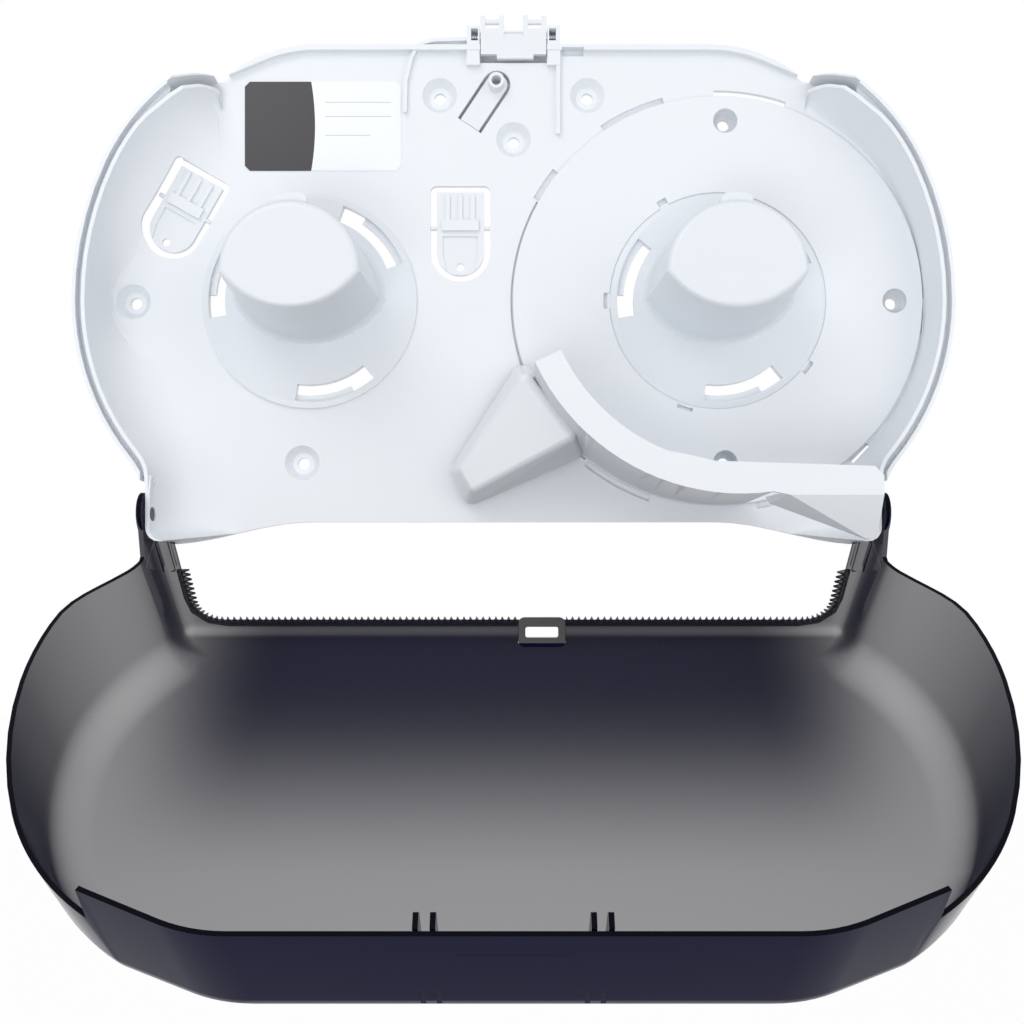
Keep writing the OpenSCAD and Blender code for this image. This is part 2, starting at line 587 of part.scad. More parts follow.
// ---- cover; inside it u runs forward and t up from the hinge, with the cover shut ----
module on_cover() translate(hinge_at) rotate([open_angle, 0, 0]) children();
side_edge = 0.3;        // edge of the side walls, forward of the hinge
top_edge = 12.3 - hinge_d;
near_edge = 14;         // edge of the side walls beside the hinge
edge_turn = [26, 80];   // the edge goes from the one to the other between these heights
step_x = 186;           // half width at which the edge steps back behind the lip
draft = 2.6;
low_corner_r = 7;
arc_steps = 5;
function front_u(t) = cover_u - cover_lean * t;
function edge_u(p) = let (t = p[1] - hinge_z)
  abs(p[0]) < step_x && t > edge_turn[1] ? top_edge :
  near_edge + (side_edge - near_edge) * smooth((t - edge_turn[0]) / (edge_turn[1] - edge_turn[0]));
function corner_at(p) = let (t = p[1] - hinge_z)
  low_corner_r + (corner_r - low_corner_r) * smooth((t - cover_corner + 8) / 22);
function cover_rows(s, w) = let (
    r = corner_at(s[0]), mid = inset_at(s, r + draft), lean = -cover_lean * s[1][1],
    stop = 90 + atan(lean), root = sqrt(1 + lean * lean),
    uc = front_u(mid[1] - hinge_z) - w * sqrt(1 + cover_lean * cover_lean) - (r - w) * root,
    put = function (i, u) let (p = inset_at(s, i)) [p[0], -u, p[1] - hinge_z])
  concat([put(w, edge_u(s[0]))],
    [for (k = [0:arc_steps]) let (a = 180 + (stop - 180) * k / arc_steps)
      put(r + draft + (r - w) * cos(a), uc + (r - w) * sin(a))]);
module cover_shell() {
  st = cover_stations();
  n = len(st);
  m = arc_steps + 2;
  polyhedron(
    points = concat([for (s = st) each cover_rows(s, 0)], [for (s = st) each cover_rows(s, cover_wall)]),
    faces = concat(
      [for (k = [0:n - 1], j = [0:m - 2]) let (a = k * m + j, b = ((k + 1) % n) * m + j)
        each [[a + 1, b + 1, b], [a + 1, b, a]]],
      [for (k = [0:n - 1], j = [0:m - 2]) let (a = (n + k) * m + j, b = (n + (k + 1) % n) * m + j)
        each [[b, b + 1, a + 1], [a, b, a + 1]]],
      [for (k = [0:n - 1]) let (a = k * m, b = ((k + 1) % n) * m, q = n * m)
        each [[a, b, q + b], [a, q + b, q + a]]],
      [for (k = [0:n / 2 - 2]) let (a = k * m + m - 1, b = (n - 1 - k) * m + m - 1)
        each [[b, b - m, a + m], [b, a + m, a]]],
      [for (k = [0:n / 2 - 2]) let (a = (n + k) * m + m - 1, b = (2 * n - 1 - k) * m + m - 1)
        each [[a + m, b - m, b], [a, a + m, b]]]));
}

// The dispensing opening is a U, seen from below.
mouth_x = 203;
mouth_u = 97.4;
mouth_r = 20;
mouth_u0 = 50;          // where the tear edge starts at each side
module from_below(t0, t1) translate([0, 0, t0]) linear_extrude(t1 - t0) mirror([0, 1]) children();
module mouth() union() {
  polygon(concat([[-mouth_x, -99], [mouth_x, -99]],
    arc([mouth_x - mouth_r, mouth_u - mouth_r], mouth_r, 0, 90, 10),
    arc([mouth_r - mouth_x, mouth_u - mouth_r], mouth_r, 90, 180, 10)));
  translate([-cover_side - 9, -99]) square([2 * cover_side + 18, 99 + 25]);
}
ear_r = 12.4;
ear_x0 = leg_x + 0.4;
rib_x = [33.3, 40.5];
rib_w = 2.4;
eyelet_x = 18;
eyelet_u = 99.8;
eyelet_t = 3.2;
eyelet_w = 30;
eyelet_h = 19;
eyelet_t5 = 5;
module at_eyelet() translate([eyelet_x, -eyelet_u, eyelet_t]) rotate([45, 0, 0]) children();
eyelet_hole = [21, 7];
module eyelet_block(w, h, t, r) slab(-t / 2, t / 2) polygon(concat(
  arc([w / 2 - r, h / 2 - r], r, 0, 90, 4), arc([r - w / 2, h / 2 - r], r, 90, 180, 4),
  arc([r - w / 2, r - h / 2], r, 180, 270, 4), arc([w / 2 - r, r - h / 2], r, 270, 360, 4)));
module front_cover() color(smoke_grey) on_cover() difference() {
  union() {
    difference() {
      cover_shell();
      from_below(-30, 3) mouth();
    }
    left_and_right() {
      translate([ear_x0, 0, 0]) rotate([0, 90, 0]) cylinder(r = ear_r, h = cover_side - ear_x0);
      translate([ear_x0, 0, 0]) rotate([90, 0, 90]) linear_extrude(cover_side - ear_x0)
        polygon([[0, -8], [-26, -8], [-26, 18], [-16, 22], [0, ear_r - 0.4]]);
      translate([cover_side - 8.6, -50, cover_bottom - hinge_z]) cube([7.4, 25, 6]);
      for (x = rib_x) translate([x - rib_w / 2, 0, 0]) rotate([90, 0, 90]) linear_extrude(rib_w)
        polygon([[26.9, 275], [27.5, 268], [24, 266], [-40, 266], [-46, 277]]);
    }
  }
  left_and_right() translate([ear_x0 - cut, 0, 0]) rotate([0, 90, 0])
    cylinder(r = pin_r + 0.02, h = cover_side - ear_x0 + 2 * cut);
  at_eyelet() eyelet_block(eyelet_w + air, eyelet_h + air, eyelet_t5 + air, 4);
  at_eyelet() eyelet_block(eyelet_hole[0], eyelet_hole[1], 40, 1.5);
  translate([-25, -30, cover_top - hinge_z - 0.8]) cube([50, 40, 9]);
}

// The tear edge follows the mouth: p(s) at a length s along it, with its inward side.
edge_side = mouth_u - mouth_r - mouth_u0;
edge_bend = mouth_r * PI / 2;
edge_front = 2 * (mouth_x - mouth_r);
edge_l = 2 * edge_side + 2 * edge_bend + edge_front;
tooth_pitch = 4.05;
teeth = floor(edge_l / tooth_pitch);
edge_w = 2;
edge_t = 1.6;
function half_edge(s) =
  s < edge_side ? [[mouth_x, mouth_u0 + s], [-1, 0]] :
  s < edge_side + edge_bend ? let (a = (s - edge_side) / mouth_r * 180 / PI, u = [cos(a), sin(a)])
    [[mouth_x - mouth_r, mouth_u - mouth_r] + mouth_r * u, -u] :
  [[mouth_x - mouth_r - (s - edge_side - edge_bend), mouth_u], [0, -1]];
function mouth_edge(s) = s <= edge_l / 2 ? half_edge(s) :
  let (h = half_edge(edge_l - s)) [[-h[0][0], h[0][1]], [-h[1][0], h[1][1]]];
// The lower wall rises by the draft from its edge to the front corner, and the strip lies on it.
low_t = cover_bottom - hinge_z;
low_arc_u = front_u(low_t + low_corner_r + draft) - low_corner_r * sqrt(1 + cover_lean * cover_lean);
wall_rise = draft / (low_arc_u - near_edge);
function corner_room(u) = cover_corner - cover_wall - 0.15 - wall_rise * (u - near_edge);
module tear_edge() color(moulded_black) on_cover() difference() {
  translate([0, -near_edge, low_t + cover_wall + 0.1]) rotate([-atan(wall_rise), 0, 0])
    translate([0, near_edge, 0]) from_below(0, edge_t) polygon(concat(
      [for (k = [0:teeth], j = [0, 1]) let (e = mouth_edge(min((k + j / 2) * edge_l / (teeth + 0.5), edge_l)))
        e[0] + (0.4 + tooth_h * j) * e[1]],
      [for (k = [40:-1:0]) let (e = mouth_edge(edge_l * k / 40)) e[0] - edge_w * e[1]]));
  translate([eyelet_x - eyelet_w / 2 - air, -300, -50]) cube([eyelet_w + 2 * air, 300, 99]);
  left_and_right() difference() {
    translate([cover_side - cover_corner, -110, -50]) cube([50, 110, 99]);
    translate([cover_side - cover_corner, 0, low_t + cover_corner]) rotate([90, 0, 0])
      cylinder(r1 = corner_room(0), r2 = corner_room(110), h = 110);
  }
}
module eyelet_frame() color(moulded_black) on_cover() at_eyelet() difference() {
  eyelet_block(eyelet_w, eyelet_h, eyelet_t5, 4);
  eyelet_block(eyelet_hole[0], eyelet_hole[1], 40, 1.5);
}
dome_r = 9.5;
dome_h = 3;
dome_ball = (dome_r * dome_r + dome_h * dome_h) / (2 * dome_h);
pin_l = cover_side - leg_x + leg_skin + air;
module hinge_pin() color(moulded_black) translate(hinge_at) {
  translate([cover_side, 0, 0]) rotate([0, 90, 0]) rotate_extrude() polygon(concat(
    [[0, -pin_l], [pin_r, -pin_l], [pin_r, 0]],
    [for (k = [0:5]) let (x = dome_r * (1 - k / 6)) [x, sqrt(dome_ball * dome_ball - x * x) - dome_ball + dome_h]],
    [[0, dome_h]]));
}
module right_hinge_pin() hinge_pin();
module left_hinge_pin() mirror([1, 0, 0]) hinge_pin();

// ---- label, bare of words ----
label_x0 = -161.5;
label_x1 = -67.7;
label_z0 = 78.6;
label_z1 = 132.1;
label_c = 3;
module label_plate() color("white") slab(floor_front, floor_front + 0.4) polygon([
  [label_x0 + label_c, label_z0], [label_x1 - label_c, label_z0], [label_x1, label_z0 + label_c],
  [label_x1, label_z1 - label_c], [label_x1 - label_c, label_z1], [label_x0 + label_c, label_z1],
  [label_x0, label_z1 - label_c], [label_x0, label_z0 + label_c]]);

rear_housing();
left_spindle();
right_spindle();
reserve_ring();
roll_guard();
left_brake_flap();
centre_brake_flap();
spring_finger();
latch_rocker();
latch_pivot_pin();
left_latch_spring();
right_latch_spring();
front_cover();
tear_edge();
eyelet_frame();
left_hinge_pin();
right_hinge_pin();
label_plate();
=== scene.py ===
# %% [markdown]
# # A twin jumbo toilet roll dispenser with its cover hinged open
#
# The real object is a pale moulded shell that hangs on a wall. Two D-shaped posts carry the
# rolls, a flat ring turns round the right post with a guard on it, and a smoke-grey cover is
# hinged at the bottom. Here it is open, so it hangs forwards and down.
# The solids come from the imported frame. This file gives them rounded edges, finishes, light
# and a camera. All lengths are in metres, with X to the right, Y into the wall and Z up.

# %% Load the frame
import json
import math

import bmesh
import bpy
import numpy as np
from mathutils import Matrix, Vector


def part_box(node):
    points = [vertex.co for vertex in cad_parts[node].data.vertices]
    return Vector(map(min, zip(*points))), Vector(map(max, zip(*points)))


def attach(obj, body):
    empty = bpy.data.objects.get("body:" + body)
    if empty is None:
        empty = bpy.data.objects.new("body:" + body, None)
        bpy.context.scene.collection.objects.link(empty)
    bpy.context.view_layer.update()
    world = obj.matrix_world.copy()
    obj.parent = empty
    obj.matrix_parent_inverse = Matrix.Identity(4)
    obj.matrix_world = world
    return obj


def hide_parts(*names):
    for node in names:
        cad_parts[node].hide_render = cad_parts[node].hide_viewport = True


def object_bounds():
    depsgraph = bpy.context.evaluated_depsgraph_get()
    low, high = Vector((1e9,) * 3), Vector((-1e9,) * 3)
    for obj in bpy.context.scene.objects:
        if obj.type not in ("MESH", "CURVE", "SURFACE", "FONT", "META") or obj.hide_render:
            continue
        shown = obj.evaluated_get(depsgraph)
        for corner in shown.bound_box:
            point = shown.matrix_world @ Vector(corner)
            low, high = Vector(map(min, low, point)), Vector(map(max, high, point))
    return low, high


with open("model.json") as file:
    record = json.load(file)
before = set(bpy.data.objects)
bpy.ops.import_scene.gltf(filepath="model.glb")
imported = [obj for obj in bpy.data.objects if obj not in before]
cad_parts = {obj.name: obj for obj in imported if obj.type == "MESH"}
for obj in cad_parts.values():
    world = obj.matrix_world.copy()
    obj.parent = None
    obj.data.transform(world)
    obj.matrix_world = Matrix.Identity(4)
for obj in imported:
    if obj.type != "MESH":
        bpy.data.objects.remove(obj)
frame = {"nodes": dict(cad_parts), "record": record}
nodes = frame["nodes"]
cad_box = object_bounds()
scene = bpy.context.scene
print("CAD box", [round(v, 4) for v in (*cad_box[0], *cad_box[1])])

# %% [markdown]
# ## The camera
#
# The photograph was taken square to the wall, from below the roll posts, and its upright
# lines stay upright. Tilting the camera up would make the sides lean. A level camera with a
# small upward shift frames the same picture and keeps them straight.

# %% Camera
SENSOR = 0.036              # width of the sensor
PICTURE = 1024              # width and height of the photograph, in pixels
FOCUS = 1236                # focal length, in pixels
EYE = Vector((0, -0.752, -0.1795))
PRINCIPAL = (513.5, 600.0)  # where the level line of sight meets the picture
NEAREST = 0.01              # nothing nearer than this is drawn
MILLIMETRES = 1000          # in a metre, because Blender wants the lens in them

camera_data = bpy.data.cameras.new("camera")
camera_data.sensor_width = SENSOR * MILLIMETRES
camera_data.lens = FOCUS / PICTURE * SENSOR * MILLIMETRES
camera_data.shift_x = (PICTURE / 2 - PRINCIPAL[0]) / PICTURE
camera_data.shift_y = (PRINCIPAL[1] - PICTURE / 2) / PICTURE
camera_data.clip_start = NEAREST
camera = bpy.data.objects.new("camera", camera_data)
camera.location = EYE
camera.rotation_euler = (math.pi / 2, 0, 0)
scene.collection.objects.link(camera)
scene.camera = camera
print("lens", round(camera_data.lens, 2), "mm")

# %% [markdown]
# ## A colour and an empty material
#
# Colours are easiest to judge on a screen, but Blender counts light in linear steps, so a
# small helper converts them. Node trees are long to write out, so a second helper adds one
# node, sets its values and links its inputs in a single call, and a third does the same for
# sums, whose terms may be numbers or other nodes.

# %% Helpers for colours and nodes
def linear(red, green, blue):
    """Turns a colour as seen on a screen, 0 to 255, into scene light. Dark tones are divided
    by 12.92, and the rest follow a power of 2.4."""
    c = np.array([red, green, blue]) / 255
    return tuple(np.where(c <= 0.04045, c / 12.92, ((c + 0.055) / 1.055) ** 2.4))


def opaque(colour):
    """The same colour with the fourth number that a colour socket asks for."""
    return (*linear(*colour), 1)


def node_adder(tree):
    """A function that adds a node to tree: values fill its sockets and inputs link them."""
    def add(kind, values=(), inputs=(), **settings):
        node = tree.nodes.new(kind)
        for key, value in settings.items():
            setattr(node, key, value)
        for key, value in dict(values).items():
            node.inputs[key].default_value = value
        for key, socket in dict(inputs).items():
            tree.links.new(socket, node.inputs[key])
        return node

    return add


def maths_adder(add):
    """A function that adds a Math node and gives its result. Its terms are numbers or sockets."""
    def maths(operation, *terms):
        numbers = {slot: term for slot, term in enumerate(terms) if isinstance(term, (int, float))}
        sockets = {slot: term for slot, term in enumerate(terms) if slot not in numbers}
        return add("ShaderNodeMath", numbers, sockets, operation=operation).outputs[0]

    return maths


def new_material(name):
    """An empty material: itself, its shader, and the function that adds its nodes."""
    material = bpy.data.materials.new(name)
    material.use_nodes = True
    return material, material.node_tree.nodes["Principled BSDF"], node_adder(material.node_tree)


print("mid grey in scene light", [round(float(v), 3) for v in linear(128, 128, 128)])

# %% [markdown]
# ## Moulded plastic
#
# Moulded plastic is never one flat colour. It has faint cloudy changes of tone, a roughness
# that drifts a little, and a very fine grain from the mould. A picture could hold all this,
# but three noises on Object coordinates need no unwrapping, stay sharp from near, and don't
# slide when a piece moves.

# %% Moulded plastic
CLOUD_SCALE = 9             # clouds of tone, to the metre
CLOUD_DETAIL = 3            # smaller clouds within them
DRIFT_SCALE = 30            # patches of roughness, to the metre
DRIFT = 0.05                # how far the roughness strays each way
GRAIN_SCALE = 2600          # grains, to the metre
GRAIN_DEPTH = 0.0002        # height of the grain
FINE_DETAIL = 2             # smaller patches and grains within the first


def moulded(name, colour, roughness, tone=0.02, grain=0.03):
    """Moulded plastic. tone is how far its colour darkens in the clouds, and grain is how
    strongly the mould's grain shows."""
    material, shader, add = new_material(name)
    tree = material.node_tree
    place = add("ShaderNodeTexCoord").outputs["Object"]
    cloud = add("ShaderNodeTexNoise", {"Scale": CLOUD_SCALE, "Detail": CLOUD_DETAIL}, {"Vector": place})
    value = add("ShaderNodeMapRange", {"To Min": 1 - tone, "To Max": 1 + tone / 2},
                {"Value": cloud.outputs["Fac"]})
    tint = add("ShaderNodeHueSaturation", {"Color": opaque(colour)},
               {"Value": value.outputs["Result"]})
    tree.links.new(tint.outputs["Color"], shader.inputs["Base Color"])
    drift = add("ShaderNodeTexNoise", {"Scale": DRIFT_SCALE, "Detail": FINE_DETAIL}, {"Vector": place})
    rough = add("ShaderNodeMapRange", {"To Min": roughness - DRIFT, "To Max": roughness + DRIFT},
                {"Value": drift.outputs["Fac"]})
    tree.links.new(rough.outputs["Result"], shader.inputs["Roughness"])
    speck = add("ShaderNodeTexNoise", {"Scale": GRAIN_SCALE, "Detail": FINE_DETAIL}, {"Vector": place})
    bump = add("ShaderNodeBump", {"Strength": grain, "Distance": GRAIN_DEPTH},
               {"Height": speck.outputs["Fac"]})
    tree.links.new(bump.outputs["Normal"], shader.inputs["Normal"])
    return material, shader, add


# %% [markdown]
# ## Plastics and steel
#
# The shell and its small parts are a cool off-white with a matt grain. The posts and the
# guard are set a little glossier, as smooth mouldings that rolls slide on. The hinge pins and
# the window frame are black, and the latch pin and springs are bright steel.

# %% Plastics and steel
shell = moulded("pale_moulded_shell", (229, 233, 238), roughness=0.42, grain=0.05)[0]
post = moulded("near_white_post", (222, 227, 233), roughness=0.34)[0]
guard = moulded("near_white_guard", (226, 230, 235), roughness=0.36)[0]
flap = moulded("pale_flap", (227, 231, 236), roughness=0.42, grain=0.05)[0]
black = moulded("moulded_black", (16, 16, 20), roughness=0.3, tone=0.1)[0]
steel, steel_shader, _ = moulded("bright_wire", (190, 192, 196), roughness=0.25, tone=0.05)
steel_shader.inputs["Metallic"].default_value = 1.0
print("finishes", [material.name for material in (shell, post, guard, flap, black, steel)])

# %% [markdown]
# ## The open cover's own directions
#
# The cover is easiest to describe as if it were shut: so far up from its hinge, and so far
# out from the wall. Both directions turn with the cover, so they are worked out once for
# the angle at which it hangs open.

# %% Directions of the open cover
OPEN = math.radians(137.4)  # how far the cover has swung from shut
HINGE = Vector((0, -0.039, -0.130))                         # the middle of its hinge line
COVER_UP = Vector((0, -math.sin(OPEN), math.cos(OPEN)))     # up, on the shut cover
COVER_OUT = Vector((0, -math.cos(OPEN), -math.sin(OPEN)))   # away from the wall, on the shut cover
print("up", [round(v, 3) for v in COVER_UP], "out", [round(v, 3) for v in COVER_OUT])

# %% [markdown]
# ## Smoke-grey plastic
#
# The cover lets through about a third of the light, and less where one looks along its
# wall, because the way through the plastic is longer there. So the share that passes is a
# power: the share for a square look, raised to one over the cosine of the angle.
# Real refraction would cost much more time and look the same in a wall this thin.
# The front wall is darker towards the dispensing opening, where shade is painted in: the
# share falls there by a smooth step. The top wall is nearly black, as walls are that lie along the line
# of sight.

# %% Smoke material
# painted shade on the front wall: less light passes in this region
PAINTED_SHADE_Z = (-0.325, -0.225)  # the shade grows from the first height to the second ...
PAINTED_SHADE_X = (0.235, 0.145)    # ... and from the first half width to the second
TOP_UP = (0.236, 0.248)     # the top wall lies past these heights above the hinge ...
TOP_OUT = (0.056, 0.049)    # ... and behind the front wall, which starts at these depths
TOP_PASSES = 0.06           # share of light through one surface of the top wall
LEAST_COSINE = 0.16         # a look flatter than this gets no darker
SMOKE_IOR = 1.07            # low, so that the white ground doesn't mirror along the walls
SMOKE_TONE = 0.1            # clouds of tone
SMOKE_GRAIN = 0.01          # fainter than on the shell, because the cover is glossy


def smoked(name, colour, passes, shaded, roughness):
    """Tinted plastic. passes is the share of light through one surface, looked at square on,
    and shaded is what is left of it where shade is painted in. Its alpha is 1 - share ** (1 / cosine)."""
    material, shader, add = moulded(name, colour, roughness, SMOKE_TONE, SMOKE_GRAIN)
    maths = maths_adder(add)

    def smooth_step(ends, value):
        return add("ShaderNodeMapRange", {"From Min": ends[0], "From Max": ends[1]},
                   {"Value": value}, interpolation_type="SMOOTHSTEP").outputs["Result"]

    def along(direction, arm):
        return add("ShaderNodeVectorMath", {1: direction}, {0: arm},
                   operation="DOT_PRODUCT").outputs["Value"]

    place = add("ShaderNodeTexCoord").outputs["Object"]
    axes = add("ShaderNodeSeparateXYZ", inputs={0: place}).outputs
    half_width = maths("ABSOLUTE", axes["X"])
    # painted shade: the share that passes falls towards the dispensing opening
    shade = maths("MULTIPLY", smooth_step(PAINTED_SHADE_Z, axes["Z"]), smooth_step(PAINTED_SHADE_X, half_width))
    share = add("ShaderNodeMapRange", {"To Min": passes, "To Max": shaded},
                {"Value": shade}).outputs["Result"]
    arm = add("ShaderNodeVectorMath", {1: HINGE}, {0: place}, operation="SUBTRACT").outputs[0]
    top = maths("MULTIPLY", smooth_step(TOP_UP, along(COVER_UP, arm)),
                smooth_step(TOP_OUT, along(COVER_OUT, arm)))
    share = add("ShaderNodeMapRange", {"To Max": TOP_PASSES},
                {"Value": top, "To Min": share}).outputs["Result"]
    facing = add("ShaderNodeLayerWeight").outputs["Facing"]
    cosine = maths("MAXIMUM", maths("SUBTRACT", 1.0, facing), LEAST_COSINE)
    light = maths("POWER", share, maths("DIVIDE", 1.0, cosine))
    alpha = maths("SUBTRACT", 1.0, light)
    material.node_tree.links.new(alpha, shader.inputs["Alpha"])
    shader.inputs["IOR"].default_value = SMOKE_IOR
    return material


smoke = smoked("smoke_grey_wall", (18, 18, 46), passes=0.62, shaded=0.26, roughness=0.12)
smoke_edge = smoked("smoke_grey_edge", (14, 14, 22), passes=0.04, shaded=0.04, roughness=0.22)
smoke_teeth = smoked("smoke_grey_teeth", (46, 46, 58), passes=0.45, shaded=0.45, roughness=0.2)
print("smoke grey:", [material.name for material in (smoke, smoke_edge, smoke_teeth)])

# %% [markdown]
# ## The label
#
# On the real shell a thin film is stuck on. Its left part is dark and the rest is pale with
# faint rules. Each field could be a mesh of its own, but then their edges would have to
# meet. Working the fields out from Object coordinates in the shader keeps the film one piece.

# %% Label material
LABEL_LO, LABEL_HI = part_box("label_plate")
LABEL_PALE = (237, 240, 246)
LABEL_RULE = (190, 194, 202)
LABEL_DARK = (56, 54, 59)
DIVIDE_X = -0.1193          # where the dark field ends, at its middle height
BOW = -3.2                  # its end is a shallow arc
RULES = ((0.1197, 0.0), (0.1112, 0.0), (0.0999, 0.0125))   # height, and how much shorter
RULE_HALF = 0.00024         # half a rule's thickness
RULE_MARGIN = 0.006         # bare film at both ends of a rule


def label_film():
    """Dark to the left of a bowed line, which is DIVIDE_X plus BOW times the height from the
    middle squared, and pale to the right with thin rules."""
    material, shader, add = moulded("label_film", LABEL_PALE, roughness=0.3, tone=0.01)
    maths = maths_adder(add)
    place = add("ShaderNodeTexCoord").outputs["Object"]
    axes = add("ShaderNodeSeparateXYZ", inputs={0: place}).outputs
    middle = (LABEL_LO.z + LABEL_HI.z) / 2
    height = maths("SUBTRACT", axes["Z"], middle)
    bow = maths("MULTIPLY", maths("MULTIPLY", height, height), BOW)
    dark = maths("LESS_THAN", axes["X"], maths("ADD", bow, DIVIDE_X))
    rule = 0.0
    for rule_z, shorter in RULES:
        here = maths("COMPARE", axes["Z"], rule_z, RULE_HALF)
        end = maths("LESS_THAN", axes["X"], LABEL_HI.x - RULE_MARGIN - shorter)
        rule = maths("ADD", rule, maths("MULTIPLY", here, end))
    rule = maths("MULTIPLY", rule, maths("GREATER_THAN", axes["X"], DIVIDE_X + RULE_MARGIN))
    pale = add("ShaderNodeMix", {6: opaque(LABEL_PALE), 7: opaque(LABEL_RULE)}, {0: rule},
               data_type="RGBA").outputs[2]
    whole = add("ShaderNodeMix", {7: opaque(LABEL_DARK)}, {0: dark, 6: pale},
                data_type="RGBA").outputs[2]
    material.node_tree.links.new(whole, shader.inputs["Base Color"])
    return material


film = label_film()
print("label", round(LABEL_HI.x - LABEL_LO.x, 4), "by", round(LABEL_HI.z - LABEL_LO.z, 4))

# %% [markdown]
# ## The tips of the cover's ribs
#
# Two pairs of ribs stiffen the cover's top wall from inside. On the real cover they end
# flush with it, but in the solid their tips stand a little way out of it. The tips are moved
# back into the wall on the cover's copy, which is less work than making the ribs again.

# %% Tips of the ribs
RIB_TIP = (0.0460, 0.2770)  # out and up from the hinge, on the shut cover
RIB_SEAT = (0.0446, 0.2746) # the same, on the wall's outer face
TIP_REACH = 3e-4            # a corner this near to the tip belongs to it


def tuck_rib_tips(work):
    """Moves every corner at the place of a rib's tip by the way from the tip to its seat."""
    change = COVER_OUT * (RIB_SEAT[0] - RIB_TIP[0]) + COVER_UP * (RIB_SEAT[1] - RIB_TIP[1])
    moved = 0
    for vert in work.verts:
        arm = vert.co - HINGE
        off_out = abs(arm.dot(COVER_OUT) - RIB_TIP[0])
        off_up = abs(arm.dot(COVER_UP) - RIB_TIP[1])
        if off_out + off_up < TIP_REACH:
            vert.co += change
            moved += 1
    print("rib corners moved", moved)


# %% [markdown]
# ## Rounded copies of the solids
#
# A moulded part has small radii on every edge, and these catch the light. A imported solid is
# a set of loose triangles, which a Bevel modifier can't round. So a copy of it is merged,
# its flat areas are joined, and the modifier rounds what is left. Weighted normals keep the
# flat faces flat beside the new round ones. The copy then stands for the solid.

# %% Copy, merge and round
MERGE = 2e-6                # corners nearer than this are one
FLAT = math.radians(0.05)   # faces that meet flatter than this are joined
SMOOTH = math.radians(32)   # edges sharper than this keep a crease
SHARP = math.radians(38)    # edges sharper than this are rounded
ROUND_STEPS = 2             # faces across a rounded edge
BODIES = frame["record"]["behaviour"]["bodies"]


def merged_copy(node):
    """A copy of a solid's mesh with its corners merged and its flat areas joined."""
    mesh = nodes[node].data.copy()
    mesh.name = "shape_" + node
    work = bmesh.new()
    work.from_mesh(mesh)
    bmesh.ops.remove_doubles(work, verts=work.verts, dist=MERGE)
    bmesh.ops.dissolve_limit(work, angle_limit=FLAT, verts=work.verts, edges=work.edges,
                             use_dissolve_boundaries=False)
    if node == "front_cover":
        tuck_rib_tips(work)
    work.to_mesh(mesh)
    work.free()
    return mesh


def rounded_copy(node, material, width):
    """A piece that stands for a solid, with its sharp edges rounded by width."""
    mesh = merged_copy(node)
    mesh.shade_smooth()
    mesh.set_sharp_from_angle(angle=SMOOTH)
    mesh.materials.clear()
    mesh.materials.append(material)
    piece = bpy.data.objects.new("round_" + node, mesh)
    scene.collection.objects.link(piece)
    if width:
        bevel = piece.modifiers.new("edges", "BEVEL")
        bevel.width = width
        bevel.segments = ROUND_STEPS
        bevel.limit_method = "ANGLE"
        bevel.angle_limit = SHARP
        bevel.use_clamp_overlap = True
    weighted = piece.modifiers.new("flat faces stay flat", "WEIGHTED_NORMAL")
    weighted.keep_sharp = True
    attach(piece, next(body for body, names in BODIES.items() if node in names))
    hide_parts(node)
    return piece


# %% [markdown]
# ## Every piece, its finish and its radius
#
# Each solid gets one finish and one edge radius. The guard has the largest radius, as its
# corners are plainly round in the photograph. The springs, the teeth and the label are too
# thin to round.

# %% Dress every solid
FINISH = {                  # finish and edge radius
    "rear_housing": (shell, 0.0005),
    "left_spindle": (post, 0.0006),
    "right_spindle": (post, 0.0006),
    "reserve_ring": (shell, 0.0003),
    "roll_guard": (guard, 0.001),
    "left_brake_flap": (flap, 0.0003),
    "centre_brake_flap": (flap, 0.0003),
    "spring_finger": (flap, 0.0003),
    "latch_rocker": (flap, 0.0003),
    "latch_pivot_pin": (steel, 0.0002),
    "left_latch_spring": (steel, 0),
    "right_latch_spring": (steel, 0),
    "tear_edge": (smoke_teeth, 0),
    "eyelet_frame": (black, 0.0003),
    "left_hinge_pin": (black, 0.0003),
    "right_hinge_pin": (black, 0.0003),
    "label_plate": (film, 0),
    "front_cover": (smoke, 0.0003),
}
pieces = {node: rounded_copy(node, *finish) for node, finish in FINISH.items()}
print("pieces", len(pieces))

# %% [markdown]
# ## The cover's edge
#
# Looked at along the wall, smoke-grey plastic is almost black, and the free edge of the
# cover shows as a dark line. The faces of that edge all look towards the wall when the cover
# is shut, so they are found by their direction and their place, and get the denser finish.

# %% Dark edge on the cover
EDGE_REACH = 0.020          # edge faces lie no further out from the hinge than this
EDGE_FACING = 0.8           # and look towards the wall at least this squarely, as a cosine


def mark_cover_edge(piece):
    """Gives the edge finish to the faces of the cover's free edge."""
    mesh = piece.data
    mesh.materials.append(smoke_edge)
    count = len(mesh.polygons)
    normal = np.empty(count * 3)
    centre = np.empty(count * 3)
    mesh.polygons.foreach_get("normal", normal)
    mesh.polygons.foreach_get("center", centre)
    out = np.array(COVER_OUT)
    facing = normal.reshape(-1, 3) @ -out
    reach = (centre.reshape(-1, 3) - np.array(HINGE)) @ out
    edge = (facing > EDGE_FACING) & (reach < EDGE_REACH)
    mesh.polygons.foreach_set("material_index", edge.astype(np.int32))
    print("edge faces", int(edge.sum()), "of", count)


mark_cover_edge(pieces["front_cover"])

# %% [markdown]
# ## A white ground
#
# The photograph has an even white ground. Strong lamps would bleach the pale shell along
# with it, so the ground is white only to the rays that look at it: those from the camera,
# from reflections and through clear things. It lights the object at a plainer level.

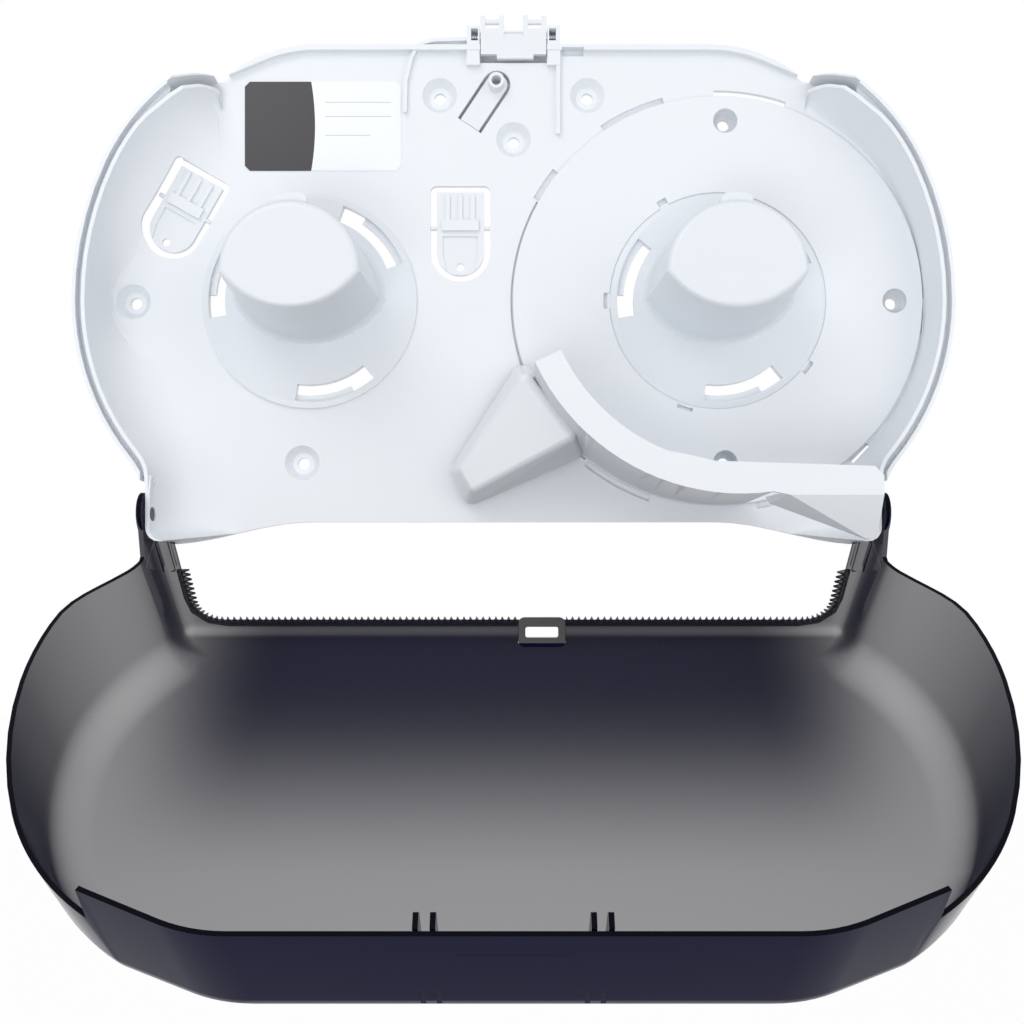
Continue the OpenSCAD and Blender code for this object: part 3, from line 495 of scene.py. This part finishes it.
# %% Rays that look
def looking_rays(add):
    """1 for a camera, reflected or transmitted ray and 0 for the rest, as the larger of
    three switches."""
    path = add("ShaderNodeLightPath").outputs
    maths = maths_adder(add)
    either = maths("MAXIMUM", path["Is Camera Ray"], path["Is Glossy Ray"])
    return maths("MAXIMUM", either, path["Is Transmission Ray"])


# %% Floor
FLOOR_DROP = 0.45           # the floor lies this far below the object
FLOOR_HALF = 6.0            # half its width
FLOOR_GREY = (0.8, 0.8, 0.8, 1)
FLOOR_ROUGHNESS = 0.9
FLOOR_GLOW = 0.96           # share of white glow, the rest takes the shadow
WHITE = (1, 1, 1, 1)


def pale_floor():
    """A square floor that looks white to the camera and still takes a faint shadow."""
    z = cad_box[0].z - FLOOR_DROP
    corners = np.array([(-1, -1), (1, -1), (1, 1), (-1, 1)]) * FLOOR_HALF
    mesh = bpy.data.meshes.new("floor")
    mesh.from_pydata([(x, y, z) for x, y in corners], [], [(0, 1, 2, 3)])
    floor = bpy.data.objects.new("floor", mesh)
    scene.collection.objects.link(floor)
    material, shader, add = new_material("pale_floor")
    tree = material.node_tree
    shader.inputs["Base Color"].default_value = FLOOR_GREY
    shader.inputs["Roughness"].default_value = FLOOR_ROUGHNESS
    glow = add("ShaderNodeEmission", {"Color": WHITE, "Strength": 1.0})
    share = maths_adder(add)("MULTIPLY", looking_rays(add), FLOOR_GLOW)
    mix = add("ShaderNodeMixShader", inputs={0: share, 1: shader.outputs[0], 2: glow.outputs[0]})
    tree.links.new(mix.outputs[0], tree.nodes["Material Output"].inputs["Surface"])
    mesh.materials.append(material)
    print("floor at", round(z, 3))


pale_floor()

# %% World
SKY_LIGHT = 0.75            # on matt surfaces


def white_world():
    """A world that looks white and lights matt surfaces at SKY_LIGHT."""
    world = bpy.data.worlds.new("world")
    scene.world = world
    world.use_nodes = True
    tree = world.node_tree
    add = node_adder(tree)
    background = tree.nodes["Background"]
    background.inputs["Color"].default_value = WHITE
    strength = add("ShaderNodeMapRange", {"To Min": SKY_LIGHT, "To Max": 1.0},
                   {"Value": looking_rays(add)}).outputs["Result"]
    tree.links.new(strength, background.inputs["Strength"])
    print("sky light", SKY_LIGHT)


white_world()

# %% [markdown]
# ## Lamps
#
# The world alone would leave the shell without form. Three large soft lamps add it: the key
# from above left, a weaker one from the right, and one from below for the undersides of the
# posts and for the cover. Small lamps would draw hard shadows, which the photograph lacks.

# %% Lamps
LAMPS = {                   # place, target, side in metres, power in watts
    "key": ((-0.7, -1.3, 1.1), (0, 0, 0), 0.9, 6),
    "fill": ((1.2, -1.2, 0.2), (0, 0, -0.05), 1.2, 4.2),
    "below": ((-0.3, -1.2, -0.8), (0, 0, 0), 1.0, 10.5),
}


def soft_lamp(name, place, target, size, power):
    """A square area lamp at place that looks at target."""
    data = bpy.data.lights.new(name, "AREA")
    data.shape = "SQUARE"
    data.size = size
    data.energy = power
    lamp = bpy.data.objects.new(name, data)
    lamp.location = place
    lamp.rotation_euler = (Vector(target) - Vector(place)).to_track_quat("-Z", "Y").to_euler()
    scene.collection.objects.link(lamp)


for lamp_name, lamp_values in LAMPS.items():
    soft_lamp(lamp_name, *lamp_values)
scene.view_settings.view_transform = "Standard"
print("lamps", len(LAMPS))
